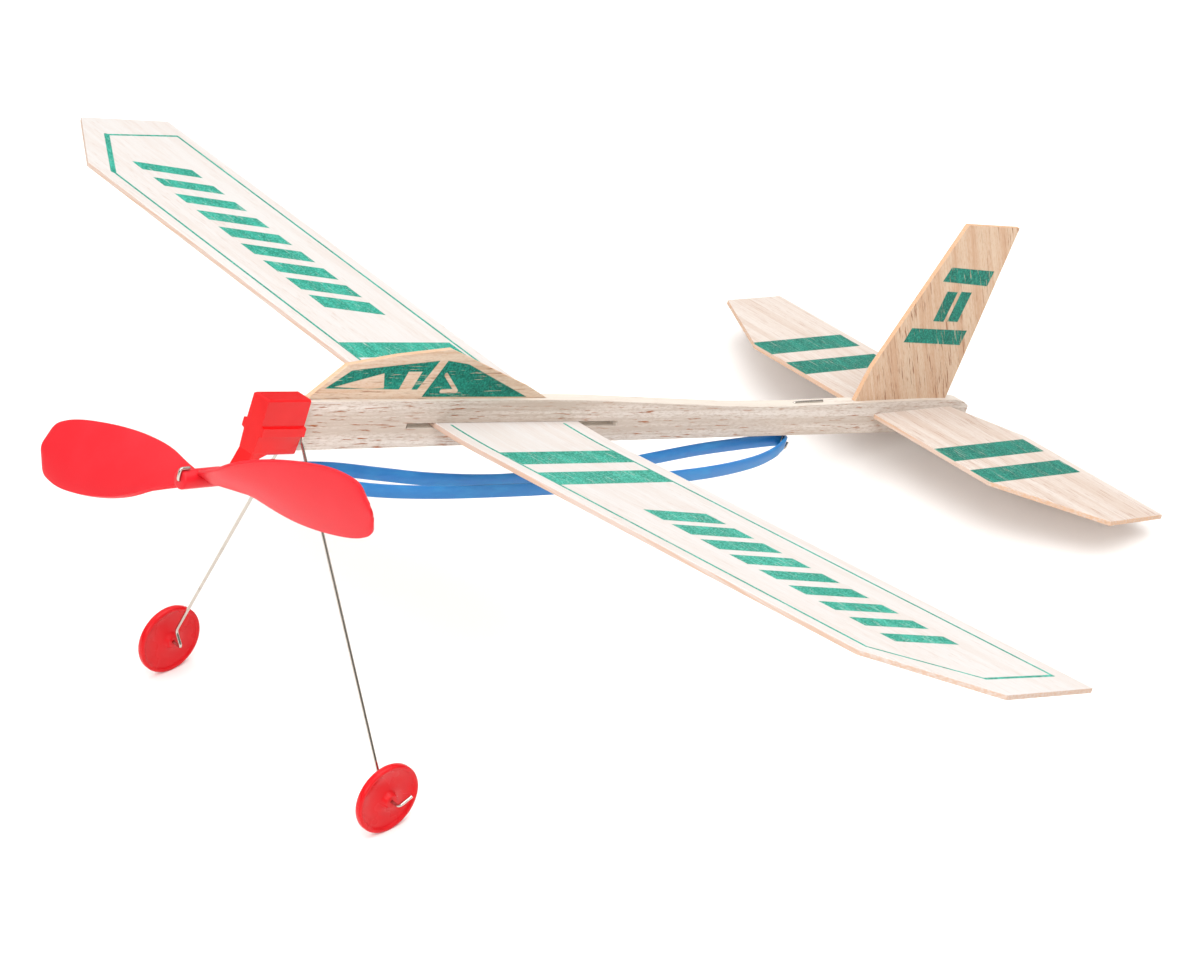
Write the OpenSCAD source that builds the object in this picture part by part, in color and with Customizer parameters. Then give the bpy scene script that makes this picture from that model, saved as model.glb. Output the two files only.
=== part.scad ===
// Rubber-band-powered stick-and-sheet model plane, standing on its wheels and tail.
// Everything is drawn level in the stick's own frame: X forward, Y to port, Z up from the stick's top edge,
// with X = 0 just inside the front wall of the nose bracket. in_stance() then tips it nose-up onto the ground at z = 0.

/* [Fuselage stick] */
// Length of the balsa stick
stick_len = 310.5; // [300:1:330]
// Thickness of the stick, side to side
stick_t = 4.8; // [4.6:0.1:5]
// Depth of the stick at its nose
nose_depth = 15.3; // [15:0.1:15.6]
// How far the bottom edge rises towards the tail
bottom_rise = 3.3; // [2.5:0.1:4]
// Depth of the shallow dip in the top edge behind the canopy
top_dip = 2.4; // [1:0.1:3]

/* [Wing] */
// Wing span, flat sheet measured straight across
wing_span = 419; // [410:1:430]
// Wing chord, constant as far as the clipped tip
wing_chord = 60; // [56:1:64]
// Thickness of all the balsa sheet
sheet_t = 1.6; // [1.5:0.1:1.8]
// Distance of the wing's leading edge behind the nose bracket's front wall
wing_station = 70; // [68:1:72]
// Rise of the wing panel for each millimetre of span, past the bent root
dihedral = 0.069; // [0.04:0.005:0.1]
// Front end of the wing's slot in the stick
slot_front = 58.4; // [56:0.2:60]
// Rear end of the wing's slot in the stick
slot_rear = 147.4; // [145:0.2:150]

/* [Tail] */
// Span of the stabiliser
stab_span = 178; // [170:1:186]
// Height of the fin's tip above the stick's top edge
fin_h = 60; // [55:1:64]

/* [Nose and propeller] */
// Diameter of the circle that the blade tips sweep
prop_d = 143; // [130:1:146]
// Widest part of a blade, which scales its whole outline
blade_chord = 24; // [20:0.5:26]
// Geometric pitch of the blades: the advance of one turn
blade_pitch = 145; // [120:5:160]
// Angle that the port blade is raised in the parked position
prop_park = 20; // [0:1:90]
// Angle that the propeller shaft points down
down_thrust = 3.5; // [2.5:0.5:4.5]

/* [Landing gear] */
// Wheel diameter
wheel_d = 22; // [20:0.5:23]
// Distance between the middles of the two wheels
track = 104; // [100:1:110]
// Diameter of the gear wire and of the propeller shaft
wire_d = 1; // [0.9:0.05:1.3]

/* [Rubber band] */
// Width of the flat band
band_w = 4.1; // [3:0.1:5]
// Thickness of the flat band
band_t = 1; // [0.9:0.05:1.1]

/* [Hidden] */
$fn = 48;

balsa = "#E2C9A8";
tail_balsa = "#D9B38C";
red = "#E8303A";
light_red = "#F04A55";
steel = "#8C8C90";
rubber_blue = "#3E8EDB";

half_t = stick_t / 2;
half_span = wing_span / 2;
half_track = track / 2;
wire_r = wire_d / 2;

// Stance: the plane rests on its two wheels and on the bottom corner of the stick's tail.
axle_x = -43.5;
axle_z = -102.7;
nose_x = -3.5;
tail_round = 3;
tail_x = nose_x - stick_len + tail_round;
tail_z = bottom_z(tail_x);
rest_x = axle_x - tail_x;
rest_z = tail_z - axle_z;
pitch = atan(rest_z / rest_x) + asin(wheel_d / 2 / norm([rest_x, rest_z]));
lift = -(tail_x * sin(pitch) + tail_z * cos(pitch));
// Puts the middle of the whole plane's length over the origin
centre_x = 139.414;

// Top and bottom edges of the stick, at a place x along it
dip_start = 115;
dip_end = 306;
tail_drop = 1;
function dip_part(x) = (-x - dip_start) / (dip_end - dip_start);
function top_z(x) = -x < dip_start ? 0 : -tail_drop * dip_part(x) - top_dip * pow(sin(180 * dip_part(x)), 2);
function bottom_z(x) = -nose_depth + bottom_rise * (nose_x - x) / stick_len;

// Centre height of the wing sheet at a distance y from the stick's middle
wing_z = -7.95;
flat_root = 3.4;
bend_end = 25;
function wing_h(y) = y < flat_root ? 0
    : y < bend_end ? dihedral * pow(y - flat_root, 2) / 2 / (bend_end - flat_root)
    : dihedral * (y - (flat_root + bend_end) / 2);

// Spanwise stations at which the sheet's cross-section bends
wing_ys = concat([0], [for (k = [0 : 6]) flat_root + (bend_end - flat_root) * k / 6], [half_span]);

// Propeller shaft: its line passes this far below the stick's nose
shaft_z = -23.4;
shaft_clearance = 0.05;
hub_r = 2.8;
hub_back = 5.7;
hub_front = 20.7;
hub_mid = 14.6;
ring_x = -12.3;
ring_r = 3.4;

// Route of the gear wire on the port side, from the middle of its U round the stick's nose
gear_route = [[-2.8, 0, -8.7], [-2.8, 3.05, -8.7], [-17.9, 3.05, -8.7], [-18.3, 3.3, -12.6], [-42, 48.6, -98.2],
    [axle_x, 46, axle_z], [axle_x, half_track + 5.5, axle_z], [axle_x - 2.3, half_track + 7, axle_z + 4]];

// Route of the rubber band: round the shaft's ring, along its outer strand, round the rear hook and back
hook_x = -229;
hook_r = 0.45;
band_route = [[-14.25, 0, -22.5], [-15.7, 1.45, -22.5], [-21, 2.2, -22.9], [-32, 4.6, -24.6], [-46, 7.8, -25.6],
    [-66, 10.8, -25.4], [-90, 13.6, -24.2], [-120, 15.4, -22.8], [-155, 14.6, -21.4], [-186, 12.2, -20.4],
    [-208, 8.6, -19.2], [-221, 5, -17.8], [-227, 2.4, -16.6], [-229, 1.3, -16.2], [-230.3, 0, -16.2],
    [-229, -1.3, -16.2], [-224, -1.2, -16.3], [-210, -0.4, -16.9], [-190, 0.6, -18.2], [-170, 1.4, -20.4],
    [-148, 2.2, -23], [-124, 2.6, -25.2], [-100, 2.4, -26.2], [-76, 1.2, -25.8], [-56, -0.2, -24.4],
    [-38, -1.4, -23], [-24, -1.6, -22.6], [-15.7, -1.45, -22.5]];

// Tips the level plane onto the ground
module in_stance() {
    translate([centre_x, 0, lift]) rotate([0, -pitch, 0]) children();
}

// Moves to the propeller shaft's line, with X forward along it
module on_shaft() {
    translate([0, 0, shaft_z]) rotate([0, down_thrust, 0]) children();
}

// An upright sheet on the centre line, from an outline in X and Z
module upright(outline, thickness) {
    rotate([90, 0, 0]) translate([0, 0, -thickness / 2]) linear_extrude(height = thickness) polygon(outline);
}

// A straight run of round wire between two points
module wire_run(a, b, r) {
    d = b - a;
    translate(a) rotate([0, acos(d[2] / norm(d)), atan2(d[1], d[0])]) cylinder(h = norm(d), r = r);
}

function unit(v) = v / norm(v);

// A route with each inner corner rounded off, starting the bend this far from the corner
function rounded(route, cut) = [for (k = [0 : len(route) - 1])
    if (k == 0 || k == len(route) - 1) route[k]
    else let (p = route[k], a = p + cut * unit(route[k - 1] - p), b = p + cut * unit(route[k + 1] - p))
        for (t = [0 : 1 / 3 : 1.01]) (1 - t) * (1 - t) * a + 2 * t * (1 - t) * p + t * t * b];

// Rings of a wire along a route: each ring is the last one slid along the wire to the next mitre plane
function wire_rings(route, k, ring) = k == len(route) ? [] : let (
    before = unit(route[max(k, 1)] - route[max(k, 1) - 1]),
    after = unit(route[min(k + 1, len(route) - 1)] - route[min(k, len(route) - 2)]),
    mitre = unit(before + after),
    here = [for (o = ring) o - before * (o * mitre) / (before * mitre)],
    next = [for (o = here) o - after * (o * after)])
    concat([for (o = here) route[k] + o], wire_rings(route, k + 1, next));

// Bent round wire, as one sweep along a route with rounded bends
module bent_wire(corners, r, cut) {
    sides = 12;
    route = rounded(corners, cut);
    last = len(route) - 1;
    start = unit(route[1] - route[0]);
    u = unit(cross(start, abs(start[2]) < 0.9 ? [0, 0, 1] : [0, 1, 0]));
    v = cross(start, u);
    points = wire_rings(route, 0, [for (j = [0 : sides - 1]) r * (cos(360 * j / sides) * u + sin(360 * j / sides) * v)]);
    skin = [for (k = [0 : last - 1], j = [0 : sides - 1]) let (n = (j + 1) % sides)
        [k * sides + j, k * sides + n, (k + 1) * sides + n, (k + 1) * sides + j]];
    triangles = [for (f = skin) for (t = [[f[0], f[2], f[1]], [f[0], f[3], f[2]]]) t];
    caps = [[for (j = [0 : sides - 1]) j], [for (j = [sides - 1 : -1 : 0]) last * sides + j]];
    polyhedron(points = points, faces = concat(triangles, caps));
}

// Outlines of the upright sheets
function canopy_outline() = [[-17.4, 0], [-30, 10.8], [-49, 13.7], [-69.6, 15.7], [-78, 13], [-93, 8.1], [-106, 3.8],
    [-115, 0], [-105, 0], [-104, -3], [-24, -3], [-23, 0]];

function fin_outline() = [[-257.5, -2], [-260.6, 10], [-285, fin_h], [-311.5, fin_h - 0.4], [-303, -1],
    [-300, -2.7], [-262, -4.2]];

function stick_outline() = concat([[nose_x, -nose_depth], [nose_x, 0]],
    [for (k = [0 : 12]) let (x = -dip_start - (dip_end - dip_start) * k / 12) [x, top_z(x)]],
    [[tail_x, -1.7], [tail_x - tail_round, -1.7 - tail_round / 2], [tail_x - tail_round, tail_z + tail_round], [tail_x, tail_z]]);

// Balsa stick, with slots for the wing, stabiliser, fin and canopy
module fuselage_stick() {
    slot_h = sheet_t + 0.2;
    color(balsa) difference() {
        upright(stick_outline(), stick_t);
        upright(canopy_outline(), sheet_t);
        upright(fin_outline(), sheet_t);
        stab_sheet();
        translate([-slot_rear, -stick_t, wing_z - slot_h / 2]) cube([slot_rear - slot_front, 2 * stick_t, slot_h]);
        translate([hook_x, 0, -2 * nose_depth]) cylinder(h = 2 * nose_depth, r = hook_r);
    }
}

// Sheet canopy standing in the stick's top slot
module canopy() {
    color(balsa) upright(canopy_outline(), sheet_t);
}

// Sheet fin standing in the stick's top slot
module fin() {
    color(tail_balsa) upright(fin_outline(), sheet_t);
}

// One-piece wing: its plan outline cut from a sheet bent up at the root
module wing() {
    le = -wing_station;
    te = le - wing_chord;
    clip_y = half_span - 35;
    clip_x = le - 23;
    plan = [[le, -clip_y], [le, clip_y], [clip_x, half_span], [te, half_span], [te, -half_span], [clip_x, -half_span]];
    ys = concat([for (k = [len(wing_ys) - 1 : -1 : 1]) -wing_ys[k]], wing_ys);
    section = concat([for (y = ys) [y, wing_h(abs(y)) + sheet_t / 2]],
        [for (k = [len(ys) - 1 : -1 : 0]) [ys[k], wing_h(abs(ys[k])) - sheet_t / 2]]);
    color(balsa) translate([0, 0, wing_z]) intersection() {
        translate([0, 0, -sheet_t]) linear_extrude(height = 2 * sheet_t + dihedral * half_span) polygon(plan);
        translate([te - 1, 0, 0]) rotate([90, 0, 90]) linear_extrude(height = wing_chord + 2) polygon(section);
    }
}

// Flat stabiliser sheet, tilted a little to hold the tail down
module stab_sheet() {
    tilt = 4;
    mid = [-284, 0, -5.5];
    half = stab_span / 2;
    kink_y = 54.4;
    notch_y = 28.3;
    le = -267.5;
    te = -314.5;
    port = [[le, 0], [le, kink_y], [le - 21, half], [te, half], [te, notch_y], [te + 10, half_t], [te + 10, 0]];
    plan = concat(port, [for (k = [len(port) - 1 : -1 : 0]) [port[k][0], -port[k][1]]]);
    translate(mid) rotate([0, tilt, 0]) translate(-mid) translate([0, 0, mid[2] - sheet_t / 2])
        linear_extrude(height = sheet_t) polygon(plan);
}

module stabiliser() {
    color(tail_balsa) stab_sheet();
}

// Bent wire hook through the stick: its top leg lies back along the stick, its foot holds the band
module rear_hook() {
    top = top_z(hook_x) + hook_r - 0.1;
    foot = -18.6;
    corners = [[hook_x - 13.5, 0, top + 0.5], [hook_x, 0, top], [hook_x, 0, foot], [hook_x - 2.9, 0, foot],
        [hook_x - 3.3, 0, foot + 2.2]];
    color(steel) bent_wire(corners, hook_r, 0.9);
}

// Moulded nose: a box over the stick's nose with a ridge each side for the gear wire, and a bearing below
module nose_bracket() {
    skin = 1;
    side = half_t + skin;
    ridge = 4.6;
    front = -1;
    back = -17.2;
    top = 0.95;
    foot = -16.2;
    half_section = [[side - 0.5, top], [side, top - 0.5], [side, -7], [ridge, -7.4], [ridge, -10], [side, -10.4],
        [side - 0.3, foot + 0.5], [side - 0.8, foot]];
    section = concat(half_section, [for (k = [len(half_section) - 1 : -1 : 0]) [-half_section[k][0], half_section[k][1]]]);
    side_view = [[front - 0.5, top], [front, top - 0.5], [front, foot], [back + 0.3, foot], [back, -10.4], [back, top]];
    arm = [[front, -12], [front, -16], [0.9, -21.5], [-2.6, -21.5], [-4.2, foot - 1], [-6.5, foot + 0.1], [-3.2, -12]];
    channel = 1.5;
    channel_y = 3.8;
    color(red) difference() {
        union() {
            intersection() {
                translate([back - 1, 0, 0]) rotate([90, 0, 90]) linear_extrude(height = front - back + 2) polygon(section);
                upright(side_view, 2 * ridge + 1);
            }
            upright(arm, 6);
            on_shaft() translate([-3.6, 0, 0]) rotate([0, 90, 0]) cylinder(h = 8.8, r = 2.6);
        }
        upright([[nose_x, bottom_z(nose_x)], [nose_x, 0], [back - 1, 0], [back - 1, bottom_z(back - 1)]], stick_t);
        translate([back - 1, -channel_y, gear_route[0][2] - channel / 2])
            cube([nose_x + channel - back + 1, 2 * channel_y, channel]);
        on_shaft() translate([-30, 0, 0]) rotate([0, 90, 0]) cylinder(h = 60, r = wire_r + shaft_clearance);
    }
}

// One blade along +Y: an elliptical section that twists and widens, with its trailing corner squarer at the tip
module blade() {
    rings = 20;
    sides = 16;
    root = 2;
    size = blade_chord / 24;
    lead = [[0, 2.6], [0.1, 4.8], [0.25, 8], [0.4, 9.2], [0.55, 9.5], [0.7, 9.1], [0.82, 8.1], [0.91, 6.2], [0.965, 3.8],
        [1, -1]];
    trail = [[0, 2.6], [0.1, 5.4], [0.25, 9.6], [0.4, 11.7], [0.55, 12.7], [0.7, 13], [0.82, 12.8], [0.91, 11.8],
        [0.965, 10], [1, 6]];
    function thick(s) = 2.2 - 1.2 * s;
    function twist(r) = atan(blade_pitch / (2 * PI * max(r, 15)));
    points = [for (k = [0 : rings]) let (s = sin(90 * k / rings) * 0.6 + 0.4 * k / rings,
            r = root + (prop_d / 2 - root) * s, b = twist(r), front = size * lookup(s, lead), rear = size * lookup(s, trail))
        for (j = [0 : sides - 1]) let (u = (front - rear) / 2 + (front + rear) / 2 * cos(360 * j / sides),
            v = thick(s) / 2 * sin(360 * j / sides))
            [u * sin(b) + v * cos(b), r, u * cos(b) - v * sin(b)]];
    skin = [for (k = [0 : rings - 1], j = [0 : sides - 1]) let (n = (j + 1) % sides)
        for (t = [[k * sides + j, (k + 1) * sides + j, k * sides + n],
            [k * sides + n, (k + 1) * sides + j, (k + 1) * sides + n]]) t];
    ends = concat([for (j = [1 : sides - 2]) [0, j, j + 1]],
        [for (j = [1 : sides - 2]) [rings * sides, rings * sides + j + 1, rings * sides + j]]);
    polyhedron(points = points, faces = concat(skin, ends));
}

module propeller() {
    color(light_red) on_shaft() difference() {
        union() {
            translate([hub_back, 0, 0]) rotate([0, 90, 0]) cylinder(h = hub_front - hub_back, r = hub_r);
            for (turn = [0, 180]) translate([hub_mid, 0, 0]) rotate([turn + prop_park, 0, 0]) blade();
        }
        rotate([0, 90, 0]) cylinder(h = 60, r = wire_r + 0.02);
    }
}

// Shaft wire: a ring for the band behind the bearing, and an end turned over the hub in front
module propeller_shaft() {
    over = hub_front + wire_r + 0.05;
    lap = hub_r + wire_r + 0.15;
    color(steel) on_shaft() {
        translate([ring_x, 0, 0]) rotate([90, 0, 0]) rotate_extrude() translate([ring_r, 0]) circle(r = wire_r);
        wire_run([ring_x + ring_r, 0, 0], [over, 0, 0], wire_r);
        wire_run([over, 0, 0], [over, 0, lap], wire_r);
        wire_run([over, 0, lap], [over - 3.2, 0, lap], wire_r);
        for (z = [0, lap]) translate([over, 0, z]) sphere(r = wire_r);
    }
}

// One wire makes both legs, both axles and the U round the stick's nose
module landing_gear_wire() {
    last = len(gear_route) - 1;
    starboard = [for (k = [last : -1 : 1]) [gear_route[k][0], -gear_route[k][1], gear_route[k][2]]];
    color(steel) bent_wire(concat(starboard, [for (k = [1 : last]) gear_route[k]]), wire_r, 1.2);
}

// Dished disc wheel with a rim lip and a small hub; its outer face looks along +Z before it is placed
module wheel() {
    rim = wheel_d / 2;
    bore = wire_r + 0.06;
    profile = [[bore, -2.2], [2, -2.2], [2.5, -0.8], [rim - 1.8, -0.6], [rim - 1.2, -1.1], [rim - 0.4, -1.1],
        [rim, -0.6], [rim, 0.7], [rim - 0.4, 1.2], [rim - 1.2, 1.2], [rim - 1.8, 0.5], [2.6, 0.8], [2, 2.4], [bore, 2.4]];
    color(red) rotate_extrude($fn = 96) polygon(profile);
}

module wheel_left() {
    translate([axle_x, half_track, axle_z]) rotate([-90, 0, 0]) wheel();
}

module wheel_right() {
    mirror([0, 1, 0]) wheel_left();
}

// Flat rubber band: one closed sweep along a smooth curve through its route, pinched at both hooks
module rubber_band() {
    steps = 3;
    sides = 8;
    n = len(band_route);
    function at(i) = band_route[(i + n) % n];
    function curve(i, t) = 0.5 * (2 * at(i) + (at(i + 1) - at(i - 1)) * t
        + (2 * at(i - 1) - 5 * at(i) + 4 * at(i + 1) - at(i + 2)) * t * t
        + (3 * at(i) - at(i - 1) - 3 * at(i + 1) + at(i + 2)) * t * t * t);
    path = [for (i = [0 : n - 1]) for (t = norm(at(i + 1) - at(i)) > 8 ? [0 : 1 / steps : 0.99] : [0, 0.5]) curve(i, t)];
    m = len(path);
    function nearness(x) = min(1, min(abs(x + 14), abs(x - hook_x)) / 14);
    points = [for (k = [0 : m - 1]) let (p = path[k], ahead = unit(path[(k + 1) % m] - path[(k + m - 1) % m]),
            up = unit([0, 0, 1] - ahead[2] * ahead), side = cross(up, ahead), w = 0.8 + (band_w / 2 - 0.8) * nearness(p[0]))
        for (j = [0 : sides - 1]) let (a = 360 * (j + 0.5) / sides)
            p + side * band_t / 2 * min(1, max(-1, 1.3 * cos(a))) + up * w * min(1, max(-1, 1.3 * sin(a)))];
    skin = [for (k = [0 : m - 1], j = [0 : sides - 1]) let (q = (k + 1) % m, r = (j + 1) % sides)
        for (t = [[k * sides + j, q * sides + j, k * sides + r], [k * sides + r, q * sides + j, q * sides + r]]) t];
    color(rubber_blue) polyhedron(points = points, faces = skin);
}

in_stance() fuselage_stick();
in_stance() canopy();
in_stance() wing();
in_stance() stabiliser();
in_stance() fin();
in_stance() rear_hook();
in_stance() nose_bracket();
in_stance() propeller();
in_stance() propeller_shaft();
in_stance() landing_gear_wire();
in_stance() wheel_left();
in_stance() wheel_right();
in_stance() rubber_band();
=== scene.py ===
# %% [markdown]
# # A rubber band plane, piece by piece
# The plane is balsa stick and printed balsa sheet, with red moulded plastic, spring steel wire and a
# blue band. The measured frame comes first. Everything that follows sits in that frame and moves with
# its bodies.

import math

import bmesh
import bpy
from mathutils import Matrix, Vector


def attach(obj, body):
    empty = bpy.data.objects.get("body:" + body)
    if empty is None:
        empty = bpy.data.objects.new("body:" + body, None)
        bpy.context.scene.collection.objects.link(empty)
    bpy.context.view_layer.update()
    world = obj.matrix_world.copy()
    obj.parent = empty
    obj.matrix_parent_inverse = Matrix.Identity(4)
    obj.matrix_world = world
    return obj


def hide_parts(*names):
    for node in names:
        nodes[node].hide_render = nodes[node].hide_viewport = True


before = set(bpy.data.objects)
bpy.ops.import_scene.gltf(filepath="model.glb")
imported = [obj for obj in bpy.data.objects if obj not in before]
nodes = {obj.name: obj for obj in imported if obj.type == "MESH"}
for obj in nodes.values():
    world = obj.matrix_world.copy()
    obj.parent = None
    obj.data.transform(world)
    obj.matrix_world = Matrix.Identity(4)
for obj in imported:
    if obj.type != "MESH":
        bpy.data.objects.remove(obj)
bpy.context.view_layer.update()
print("frame pieces:", ", ".join(sorted(nodes)))

# %% [markdown]
# ## Camera
# A long lens from high on the port bow, so that the far wing is hardly smaller than the near one. The
# view is given by its place, its line of sight and its up direction, which makes a matrix with no
# guessing.

# %% Camera
MM = 0.001
VIEW_FROM = Vector((790.2, 859.1, 786.6)) * MM
VIEW_ALONG = Vector((-0.5665, -0.6229, -0.5395)).normalized()
VIEW_UP = Vector((-0.3418, -0.4181, 0.8417))
view_right = VIEW_ALONG.cross(VIEW_UP).normalized()
view_up = view_right.cross(VIEW_ALONG)

lens = bpy.data.cameras.new("camera")
lens.lens = 134.8
lens.sensor_width = 36
camera = bpy.data.objects.new("camera", lens)
bpy.context.scene.collection.objects.link(camera)
turn = Matrix((view_right, view_up, -VIEW_ALONG)).transposed().to_4x4()
camera.matrix_world = Matrix.Translation(VIEW_FROM) @ turn
bpy.context.scene.camera = camera
print("camera height above the floor:", round(VIEW_FROM.z, 3), "m")

# %% [markdown]
# ## The plane's own directions
# The plane rests nose-up on its wheels and tail. Its pieces are easier to think of level: X forward,
# Y to port and Z up from the stick's top edge, in millimetres. One matrix tips that level plane into
# its stance. A second one is the propeller shaft's own line, which hangs under the nose and points a
# little down.

# %% Level plane to stance
PITCH = math.radians(20.955856)
LIFT = 122.464750
CENTRE_X = 139.414
STANCE = (
    Matrix.Translation((CENTRE_X * MM, 0, LIFT * MM))
    @ Matrix.Rotation(-PITCH, 4, "Y")
    @ Matrix.Scale(MM, 4)
)
SHAFT_DROP, SHAFT_TILT = 23.4, math.radians(3.5)
SHAFT = Matrix.Translation((0, 0, -SHAFT_DROP)) @ Matrix.Rotation(SHAFT_TILT, 4, "Y")
print("stance tips the nose up", round(math.degrees(PITCH), 2), "degrees")

# %% [markdown]
# ## Small node helpers
# Each finish is a handful of nodes. `add` makes one and fills its sockets, with a value or a link. A
# socket is given by its name, or by its number as in0, in1 and so on where the names repeat. `calc`
# does a sum, `ramp` turns a range of values into a mask, and `noise` is stretched by a Mapping node,
# so grain can be long and thin.


# %% Node helpers
def add(tree, kind, settings=None, **sockets):
    node = tree.nodes.new(kind)
    for name, value in (settings or {}).items():
        setattr(node, name, value)
    for name, value in sockets.items():
        key = int(name[2:]) if name.startswith("in") else name.replace("_", " ")
        socket = node.inputs[key]
        if isinstance(value, bpy.types.NodeSocket):
            tree.links.new(value, socket)
        else:
            socket.default_value = value
    return node


def calc(tree, operation, *values, clamp=False):
    sockets = {f"in{k}": value for k, value in enumerate(values)}
    return add(tree, "ShaderNodeMath", {"operation": operation, "use_clamp": clamp}, **sockets).outputs[0]


def vector_calc(tree, operation, *values, output="Vector"):
    sockets = {f"in{k}": value for k, value in enumerate(values)}
    return add(tree, "ShaderNodeVectorMath", {"operation": operation}, **sockets).outputs[output]


def ramp(tree, value, low, high, to_low=0.0, to_high=1.0):
    settings = {"interpolation_type": "SMOOTHSTEP", "clamp": True}
    sockets = {"in0": value, "in1": low, "in2": high, "in3": to_low, "in4": to_high}
    return add(tree, "ShaderNodeMapRange", settings, **sockets).outputs[0]


def mix(tree, factor, first, second):
    node = add(tree, "ShaderNodeMix", {"data_type": "RGBA"}, in0=factor, in6=first, in7=second)
    return node.outputs[2]


def mix_values(tree, factor, first, second):
    node = add(tree, "ShaderNodeMix", {"data_type": "FLOAT"}, in0=factor, in2=first, in3=second)
    return node.outputs[0]


def noise(tree, place, stretch, detail=3.0, roughness=0.55):
    turned = add(tree, "ShaderNodeMapping", Vector=place, Scale=stretch)
    return add(tree, "ShaderNodeTexNoise", Vector=turned.outputs[0], Scale=1.0, Detail=detail,
               Roughness=roughness).outputs["Fac"]


def new_group(name, inputs, outputs):
    tree = bpy.data.node_groups.new(name, "ShaderNodeTree")
    for label, (kind, value) in inputs.items():
        socket = tree.interface.new_socket(label, in_out="INPUT", socket_type=f"NodeSocket{kind}")
        if value is not None:
            socket.default_value = value
    for label, kind in outputs.items():
        tree.interface.new_socket(label, in_out="OUTPUT", socket_type=f"NodeSocket{kind}")
    start = tree.nodes.new("NodeGroupInput")
    end = tree.nodes.new("NodeGroupOutput")
    return tree, start.outputs, end.inputs


def use(tree, group, **sockets):
    return add(tree, "ShaderNodeGroup", {"node_tree": group}, **sockets).outputs


def colour(red, green, blue):
    """A paint-chart colour, 0 to 255, as the linear light that a shader works in."""
    def linear(c):
        return c / 12.92 if c <= 0.04045 else ((c + 0.055) / 1.055) ** 2.4

    return (linear(red / 255), linear(green / 255), linear(blue / 255), 1)


print("node helpers ready")

# %% [markdown]
# ## Balsa
# Balsa is pale, with long soft streaks along the grain, fine pale lines, and short brown vessel
# dashes. All three are one noise, stretched along X by different amounts. Where the saw cut across
# the sheet, the wood is warmer. The group puts out a colour, a height for the bump and a roughness,
# and each sheet sets its own tints.

# %% Node group: balsa
WHITE = (1, 1, 1, 1)
balsa_group, g, out = new_group(
    "balsa",
    {"Place": ("Vector", None), "Pale": ("Color", WHITE), "Streak": ("Color", WHITE),
     "Dash": ("Color", WHITE), "Cut": ("Color", WHITE), "Dashes": ("Float", 0.5), "Edge": ("Float", 0.0)},
    {"Color": "Color", "Height": "Float", "Roughness": "Float"},
)
streaks = noise(balsa_group, g["Place"], (0.006, 0.22, 0.22), 4.0)
lines = noise(balsa_group, g["Place"], (0.02, 1.5, 1.5), 3.0, 0.6)
vessels = noise(balsa_group, g["Place"], (0.11, 1.7, 1.7), 3.0, 0.6)
speckle = noise(balsa_group, g["Place"], (0.5, 2.2, 2.2), 4.0, 0.7)
patches = noise(balsa_group, g["Place"], (0.015, 0.03, 0.03), 2.0)
dash_mask = calc(balsa_group, "MULTIPLY", ramp(balsa_group, vessels, 0.57, 0.68), g["Dashes"])
dash_mask = calc(balsa_group, "MULTIPLY", dash_mask, ramp(balsa_group, patches, 0.35, 0.62, 0.25, 1.0))
streak_mask = calc(balsa_group, "MULTIPLY", ramp(balsa_group, streaks, 0.36, 0.68), 0.75)
line_mask = ramp(balsa_group, lines, 0.42, 0.66, 0.0, 0.4)
streak_mask = calc(balsa_group, "ADD", streak_mask, line_mask, clamp=True)
speckle_mask = calc(balsa_group, "MULTIPLY", ramp(balsa_group, speckle, 0.45, 0.65, 0.0, 0.6), g["Dashes"])
streak_mask = calc(balsa_group, "ADD", streak_mask, speckle_mask, clamp=True)
wood = mix(balsa_group, streak_mask, g["Pale"], g["Streak"])
wood = mix(balsa_group, dash_mask, wood, g["Dash"])
cut_mask = calc(balsa_group, "MULTIPLY", g["Edge"], ramp(balsa_group, lines, 0.35, 0.6, 0.45, 1.0))
wood = mix(balsa_group, cut_mask, wood, g["Cut"])
ridges = calc(balsa_group, "MULTIPLY", lines, 0.6)
pits = calc(balsa_group, "MULTIPLY", dash_mask, 0.5)
height = calc(balsa_group, "SUBTRACT", ridges, pits)
dull = calc(balsa_group, "MULTIPLY_ADD", lines, 0.18, 0.62)
balsa_group.links.new(wood, out["Color"])
balsa_group.links.new(height, out["Height"])
balsa_group.links.new(dull, out["Roughness"])
print("balsa group:", len(balsa_group.nodes), "nodes")

# %% [markdown]
# ## Printing ink
# The print is a turquoise ink with a fine metallic fleck. It lies thin, so the grain breaks it up a
# little. One group gives its colour and how well it covers. Two more draw the shapes: a line between
# two points, and a four-sided patch. Both measure in millimetres on the level plane, so the print
# keeps its place on the sheet.

# %% Node group: ink
ink_group, g, out = new_group(
    "ink",
    {"Place": ("Vector", None), "Deep": ("Color", (0, 0, 0, 1)), "Bright": ("Color", WHITE)},
    {"Color": "Color", "Cover": "Float", "Roughness": "Float"},
)
fleck = noise(ink_group, g["Place"], (1.7, 1.7, 1.7), 4.0, 0.7)
broad = noise(ink_group, g["Place"], (0.05, 0.2, 0.2), 2.0)
thin = noise(ink_group, g["Place"], (0.12, 2.0, 2.0), 3.0, 0.6)
fleck_shine = ramp(ink_group, fleck, 0.4, 0.66, 0.0, 0.75)
broad_shine = ramp(ink_group, broad, 0.4, 0.7, 0.0, 0.25)
shine = calc(ink_group, "ADD", fleck_shine, broad_shine)
ink_group.links.new(mix(ink_group, shine, g["Deep"], g["Bright"]), out["Color"])
ink_group.links.new(ramp(ink_group, thin, 0.70, 0.60, 0.35, 1.0), out["Cover"])
ink_group.links.new(ramp(ink_group, fleck, 0.4, 0.66, 0.5, 0.34), out["Roughness"])
print("ink group:", len(ink_group.nodes), "nodes")

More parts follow.
